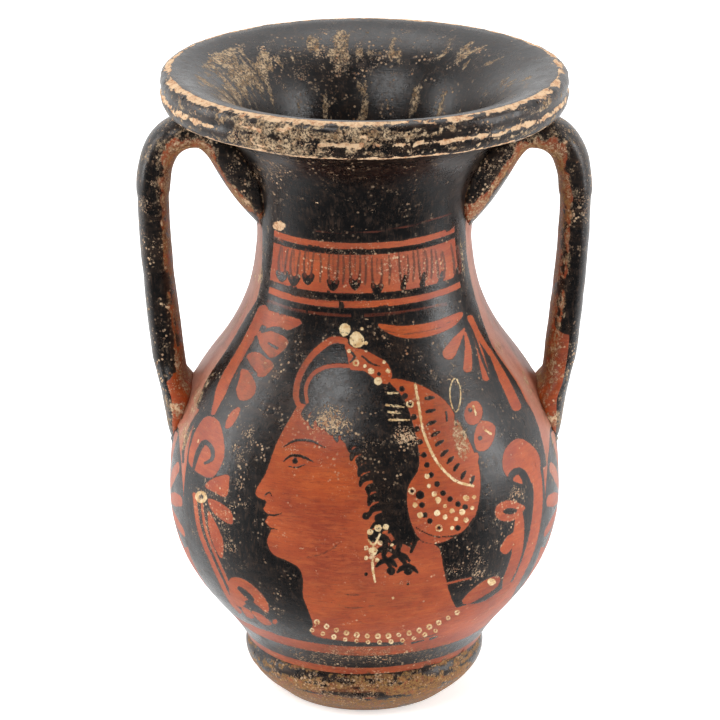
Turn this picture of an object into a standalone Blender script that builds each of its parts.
"""A two-handled jar (pelike) in fired clay, standing on its ring foot. Metres, +Z up.

The jar is one piece: a hollow turned body with two handles joined to it while the clay was soft. The origin is
on the jar's axis, level with the surface that it stands on. The painted front faces -Y, the handles +X and -X.
"""

import math

import bmesh
import bpy

# Foot: an undercut ring, hollowed below
FOOT_REST_RADIUS = 0.0330
FOOT_REST_WIDTH = 0.0060
FOOT_RIM_RADIUS = 0.0452
FOOT_RIM_HEIGHT = 0.0155
FOOT_RECESS = 0.0100
FOOT_TOP_RISE = 0.0048
JOIN_GROOVE = 0.0012

# Body: from the groove over the foot to the widest place, and up to the waist of the neck
JOIN_RADIUS = 0.0449
BELLY_RADIUS = 0.0730
BELLY_RISE = 0.0588
WAIST_RADIUS = 0.0390
WAIST_RISE = 0.1073

# Mouth: a trumpet with a heavy moulded lip
LIP_RISE = 0.0402
LIP_EDGE_RADIUS = 0.0710
LIP_RADIUS = 0.0740
LIP_HEIGHT = 0.0134
CREST_RADIUS = 0.0703
LIP_GROOVE = 0.0007

# Clay
WALL = 0.0050
FLOOR = 0.0090

# Handles: straps, thicker where they are pressed onto the shoulder and the neck
HANDLE_THICKNESS = 0.0117
HANDLE_WIDTH = 0.0190
HANDLE_STANDOFF = 0.0041
ARCH_REACH = 0.0610
ARCH_DROP = 0.0099
SPRING_DROP = 0.0248
SHOULDER_ROOT_RISE = 0.0178
SHOULDER_ROOT_HEIGHT = 0.0330
SHOULDER_ROOT_WIDTH = 0.0365
CROTCH_RISE = 0.0425
NECK_ROOT_DROP = 0.0122
NECK_ROOT_HEIGHT = 0.0220
NECK_ROOT_WIDTH = 0.0310
NECK_ROOT_TILT = math.radians(74)

# How round each stretch of the profile is: pulls of its curve's two inner points, as shares of its rise
LOWER_BODY_ANGLE = math.radians(66)
LOWER_BODY_PULLS = (0.32, 0.545)
UPPER_BODY_PULLS = (0.56, 0.574)

# Facets
SEGMENTS = 60
SECTION_POINTS = 14
SECTION_POWER = 2.3

# Heights that follow from the sizes above
JOIN_Z = FOOT_RIM_HEIGHT + FOOT_TOP_RISE
BELLY_Z = JOIN_Z + BELLY_RISE
WAIST_Z = BELLY_Z + WAIST_RISE
LIP_Z = WAIST_Z + LIP_RISE
CREST_Z = LIP_Z + LIP_HEIGHT
FLOOR_Z = FOOT_RECESS + FLOOR


def bezier(start, pull_start, pull_end, end, count):
    """The points at count + 1 even parameters of one cubic curve, both ends included."""
    points = []
    for step in range(count + 1):
        t = step / count
        s = 1 - t
        weights = (s * s * s, 3 * s * s * t, 3 * s * t * t, t * t * t)
        corners = (start, pull_start, pull_end, end)
        points.append(tuple(sum(w * c[i] for w, c in zip(weights, corners)) for i in (0, 1)))
    return points


def mix(a, b, share):
    return a + (b - a) * share


def smooth(share):
    share = min(max(share, 0.0), 1.0)
    return share * share * (3 - 2 * share)


def lower_body(count):
    pull_out, pull_up = (BELLY_RISE * share for share in LOWER_BODY_PULLS)
    return bezier(
        (JOIN_RADIUS, JOIN_Z),
        (JOIN_RADIUS + pull_out * math.cos(LOWER_BODY_ANGLE), JOIN_Z + pull_out * math.sin(LOWER_BODY_ANGLE)),
        (BELLY_RADIUS, BELLY_Z - pull_up),
        (BELLY_RADIUS, BELLY_Z),
        count,
    )


def upper_body(count):
    pull_up, pull_down = (WAIST_RISE * share for share in UPPER_BODY_PULLS)
    return bezier(
        (BELLY_RADIUS, BELLY_Z),
        (BELLY_RADIUS, BELLY_Z + pull_up),
        (WAIST_RADIUS, WAIST_Z - pull_down),
        (WAIST_RADIUS, WAIST_Z),
        count,
    )


def trumpet(count):
    """The outside of the flaring mouth, from the waist to the lip's lower edge."""
    flare = LIP_EDGE_RADIUS - WAIST_RADIUS
    return bezier(
        (WAIST_RADIUS, WAIST_Z),
        (WAIST_RADIUS, WAIST_Z + 0.66 * LIP_RISE),
        (LIP_EDGE_RADIUS - 0.55 * flare, LIP_Z - 0.10 * LIP_RISE),
        (LIP_EDGE_RADIUS, LIP_Z),
        count,
    )


def foot_outside():
    rim = (FOOT_RIM_RADIUS, FOOT_RIM_HEIGHT)
    reach = FOOT_RIM_RADIUS - FOOT_REST_RADIUS
    undercut = bezier(
        (FOOT_REST_RADIUS, 0.0),
        (FOOT_REST_RADIUS + 0.45 * reach, 0.29 * FOOT_RIM_HEIGHT),
        (FOOT_RIM_RADIUS, 0.60 * FOOT_RIM_HEIGHT),
        rim,
        4,
    )
    groove_radius = JOIN_RADIUS - JOIN_GROOVE
    shoulder = bezier(
        rim,
        (FOOT_RIM_RADIUS, FOOT_RIM_HEIGHT + 0.5 * FOOT_TOP_RISE),
        (groove_radius, JOIN_Z - 0.4 * FOOT_TOP_RISE),
        (groove_radius, JOIN_Z - 0.1 * FOOT_TOP_RISE),
        3,
    )
    return undercut + shoulder[1:]


def foot_underside():
    """From the axis out to the inner edge of the resting ring."""
    ring_inside = FOOT_REST_RADIUS - FOOT_REST_WIDTH
    return [
        (0.0, FOOT_RECESS),
        (0.55 * ring_inside, 0.94 * FOOT_RECESS),
        (0.86 * ring_inside, 0.78 * FOOT_RECESS),
        (0.96 * ring_inside, 0.40 * FOOT_RECESS),
        (ring_inside, 0.0),
    ]


def lip_face():
    """The moulded outer face, from above the lower edge to the crest: a roll, a shallow groove and a fillet."""
    rise = LIP_HEIGHT
    top = (LIP_RADIUS + CREST_RADIUS) / 2
    return [
        (mix(LIP_EDGE_RADIUS, LIP_RADIUS, 0.62), LIP_Z + 0.10 * rise),
        (LIP_RADIUS, LIP_Z + 0.36 * rise),
        (LIP_RADIUS - LIP_GROOVE, LIP_Z + 0.53 * rise),
        (LIP_RADIUS - 0.2 * LIP_GROOVE, LIP_Z + 0.68 * rise),
        (mix(top, LIP_RADIUS, 0.55), LIP_Z + 0.89 * rise),
        (CREST_RADIUS, CREST_Z),
    ]


def funnel(count):
    """The inside of the mouth, from the crest down to the throat."""
    throat = WAIST_RADIUS - WALL
    flare = CREST_RADIUS - throat
    depth = CREST_Z - WAIST_Z
    return bezier(
        (CREST_RADIUS, CREST_Z),
        (CREST_RADIUS - 0.62 * flare, CREST_Z - 0.06 * depth),
        (throat, WAIST_Z + 0.62 * depth),
        (throat, WAIST_Z),
        count,
    )


def inset(points):
    """The points moved one wall inwards, square to the curve that they lie on."""
    moved = []
    for index, (radius, height) in enumerate(points):
        before = points[max(index - 1, 0)]
        after = points[min(index + 1, len(points) - 1)]
        along = (after[0] - before[0], after[1] - before[1])
        length = math.hypot(*along)
        moved.append((radius - WALL * along[1] / length, height + WALL * along[0] / length))
    return moved


def inside():
    """The hollow below the throat, down to the middle of the floor."""
    wall = inset(lower_body(6) + upper_body(8)[1:])[:-1]
    wall = [point for point in wall if point[1] > FLOOR_Z + 0.4 * WALL]
    wall.reverse()
    low_radius, low_z = wall[-1]
    floor = bezier(
        (low_radius, low_z),
        (mix(low_radius, 0.0, 0.12), mix(low_z, FLOOR_Z, 0.9)),
        (0.6 * low_radius, FLOOR_Z),
        (0.0, FLOOR_Z),
        4,
    )
    return wall + floor[1:]


def profile():
    """The whole section, from the middle of the underside round to the middle of the floor inside."""
    outside = foot_underside() + foot_outside() + lower_body(7) + upper_body(12)[1:] + trumpet(6)[1:]
    return outside + lip_face() + funnel(7)[1:] + inside()


def read_off(curve, height):
    """The radius at a height on a rising curve, or at its nearer end."""
    if height <= curve[0][1]:
        return curve[0][0]
    for (r0, z0), (r1, z1) in zip(curve, curve[1:]):
        if z0 <= height <= z1:
            return mix(r0, r1, (height - z0) / (z1 - z0))
    return curve[-1][0]


def radius_at(height):
    """The outer radius of the body, the neck or the flare at a height, read off the same curves."""
    return read_off(lower_body(60) + upper_body(120)[1:] + trumpet(60)[1:], height)


def ring_faces(mesh, low, high):
    """Four-sided faces between two closed rings of as many points."""
    count = len(low)
    for index in range(count):
        following = (index + 1) % count
        mesh.faces.new((low[index], low[following], high[following], high[index]))


def turned_body():
    mesh = bmesh.new()
    points = profile()
    first = mesh.verts.new((0.0, 0.0, points[0][1]))
    last = mesh.verts.new((0.0, 0.0, points[-1][1]))
    rings = []
    for radius, height in points[1:-1]:
        ring = []
        for step in range(SEGMENTS):
            angle = 2 * math.pi * step / SEGMENTS
            ring.append(mesh.verts.new((radius * math.cos(angle), radius * math.sin(angle), height)))
        rings.append(ring)
    for step in range(SEGMENTS):
        following = (step + 1) % SEGMENTS
        mesh.faces.new((first, rings[0][following], rings[0][step]))
        mesh.faces.new((last, rings[-1][step], rings[-1][following]))
    for low, high in zip(rings, rings[1:]):
        ring_faces(mesh, low, high)
    return finished("pelike", mesh)


def upright_sections():
    """The handle's level sections, from its root low on the shoulder to where the arch springs."""
    root_z = BELLY_Z + SHOULDER_ROOT_RISE
    spring_z = LIP_Z - SPRING_DROP - ARCH_DROP
    reach = BELLY_RADIUS + HANDLE_STANDOFF
    foot = radius_at(root_z) - 0.36 * WALL
    rise = spring_z - root_z
    centre_line = bezier(
        (foot, root_z), (foot + 0.0006, root_z + 0.26 * rise), (reach, spring_z - 0.34 * rise), (reach, spring_z), 40
    )
    shares = (0.0, 0.025, 0.065, 0.115, 0.165, 0.215, 0.255, 0.29, 0.355, 0.50, 0.66, 0.83, 1.0)
    sections = []
    for share in shares:
        height = mix(root_z, spring_z, share)
        middle = read_off(centre_line, height)
        settled = min((height - root_z) / SHOULDER_ROOT_HEIGHT, 1.0)
        outer = mix(radius_at(height) - 0.35 * WALL, middle + HANDLE_THICKNESS / 2, settled**0.3)
        free = smooth((height - BELLY_Z - CROTCH_RISE + 0.006) / 0.008)
        inner = mix(radius_at(height) - 0.8 * WALL, middle - HANDLE_THICKNESS / 2, free)
        spread = (SHOULDER_ROOT_WIDTH - HANDLE_WIDTH) / 2 * math.sin(math.pi * settled**0.9)
        width = mix(0.3, 1.0, settled**0.7) * HANDLE_WIDTH / 2 + spread
        sections.append(((outer + inner) / 2, height, 0.0, (outer - inner) / 2, width))
    return sections


def arch_sections():
    """The sections over the bend and down to the neck, each square to the handle's run."""
    spring_z = LIP_Z - SPRING_DROP - ARCH_DROP
    top_z = LIP_Z - ARCH_DROP
    reach = BELLY_RADIUS + HANDLE_STANDOFF
    root_z = top_z - NECK_ROOT_DROP
    throat = read_off(funnel(60)[::-1], root_z)
    root_x = mix(throat, radius_at(root_z), 0.32)
    span = reach - ARCH_REACH
    bend = bezier(
        (reach, spring_z), (reach, mix(spring_z, top_z, 0.70)), (ARCH_REACH + 0.65 * span, top_z), (ARCH_REACH, top_z), 7
    )
    fall = ARCH_REACH - root_x
    descent = bezier(
        (ARCH_REACH, top_z), (ARCH_REACH - 0.36 * fall, top_z), (root_x + 0.40 * fall, root_z), (root_x, root_z), 5
    )
    line = bend + descent[1:]
    sections = []
    for index in range(1, len(line)):
        before = line[index - 1]
        after = line[min(index + 1, len(line) - 1)]
        along = math.atan2(after[1] - before[1], after[0] - before[0])
        tilt = NECK_ROOT_TILT if index == len(line) - 1 else along - math.pi / 2
        near = max(index - len(bend) + 1, 0) / (len(descent) - 1)
        half = mix(HANDLE_THICKNESS / 2 * 1.06, NECK_ROOT_HEIGHT / 2, near**2.5)
        width = mix(HANDLE_WIDTH, NECK_ROOT_WIDTH, smooth(near)) / 2
        sections.append((*line[index], tilt, half, width))
    return sections


def handle(name, side):
    """One strap handle, as a closed sweep whose two ends are sunk in the wall."""
    mesh = bmesh.new()
    rings = []
    for middle, height, tilt, half, width in upright_sections() + arch_sections():
        ring = []
        for step in range(SECTION_POINTS):
            angle = 2 * math.pi * (step + 0.5) / SECTION_POINTS
            across, along = math.cos(angle), math.sin(angle)
            across = math.copysign(abs(across) ** (2 / SECTION_POWER), across) * half
            along = math.copysign(abs(along) ** (2 / SECTION_POWER), along) * width
            x = middle + across * math.cos(tilt)
            ring.append(mesh.verts.new((side * x, along, height + across * math.sin(tilt))))
        rings.append(ring)
    for low, high in zip(rings, rings[1:]):
        ring_faces(mesh, low, high)
    mesh.faces.new(rings[0])
    mesh.faces.new(rings[-1])
    guide = finished(name, mesh)
    guide.hide_render = True
    guide.display_type = "WIRE"
    return guide


def finished(name, mesh):
    """Makes a named object of a closed mesh, with its faces turned outwards."""
    bmesh.ops.recalc_face_normals(mesh, faces=mesh.faces[:])
    data = bpy.data.meshes.new(name)
    mesh.to_mesh(data)
    mesh.free()
    data.shade_smooth()
    obj = bpy.data.objects.new(name, data)
    bpy.context.scene.collection.objects.link(obj)
    return obj


def slipped_clay():
    """Orange clay under a glossy black slip, as the jar looks from a few steps away."""
    material = bpy.data.materials.new("slipped_clay")
    material.use_nodes = True
    shader = material.node_tree.nodes["Principled BSDF"]
    shader.inputs["Base Color"].default_value = (0.10, 0.045, 0.028, 1.0)
    shader.inputs["Roughness"].default_value = 0.36
    shader.inputs["Metallic"].default_value = 0.0
    return material


def main():
    for obj in list(bpy.data.objects):
        bpy.data.objects.remove(obj, do_unlink=True)
    body = turned_body()
    body.data.materials.append(slipped_clay())
    for name, side in (("handle_right", 1), ("handle_left", -1)):
        union = body.modifiers.new(name, "BOOLEAN")
        union.operation = "UNION"
        union.solver = "EXACT"
        union.object = handle(name, side)


main()
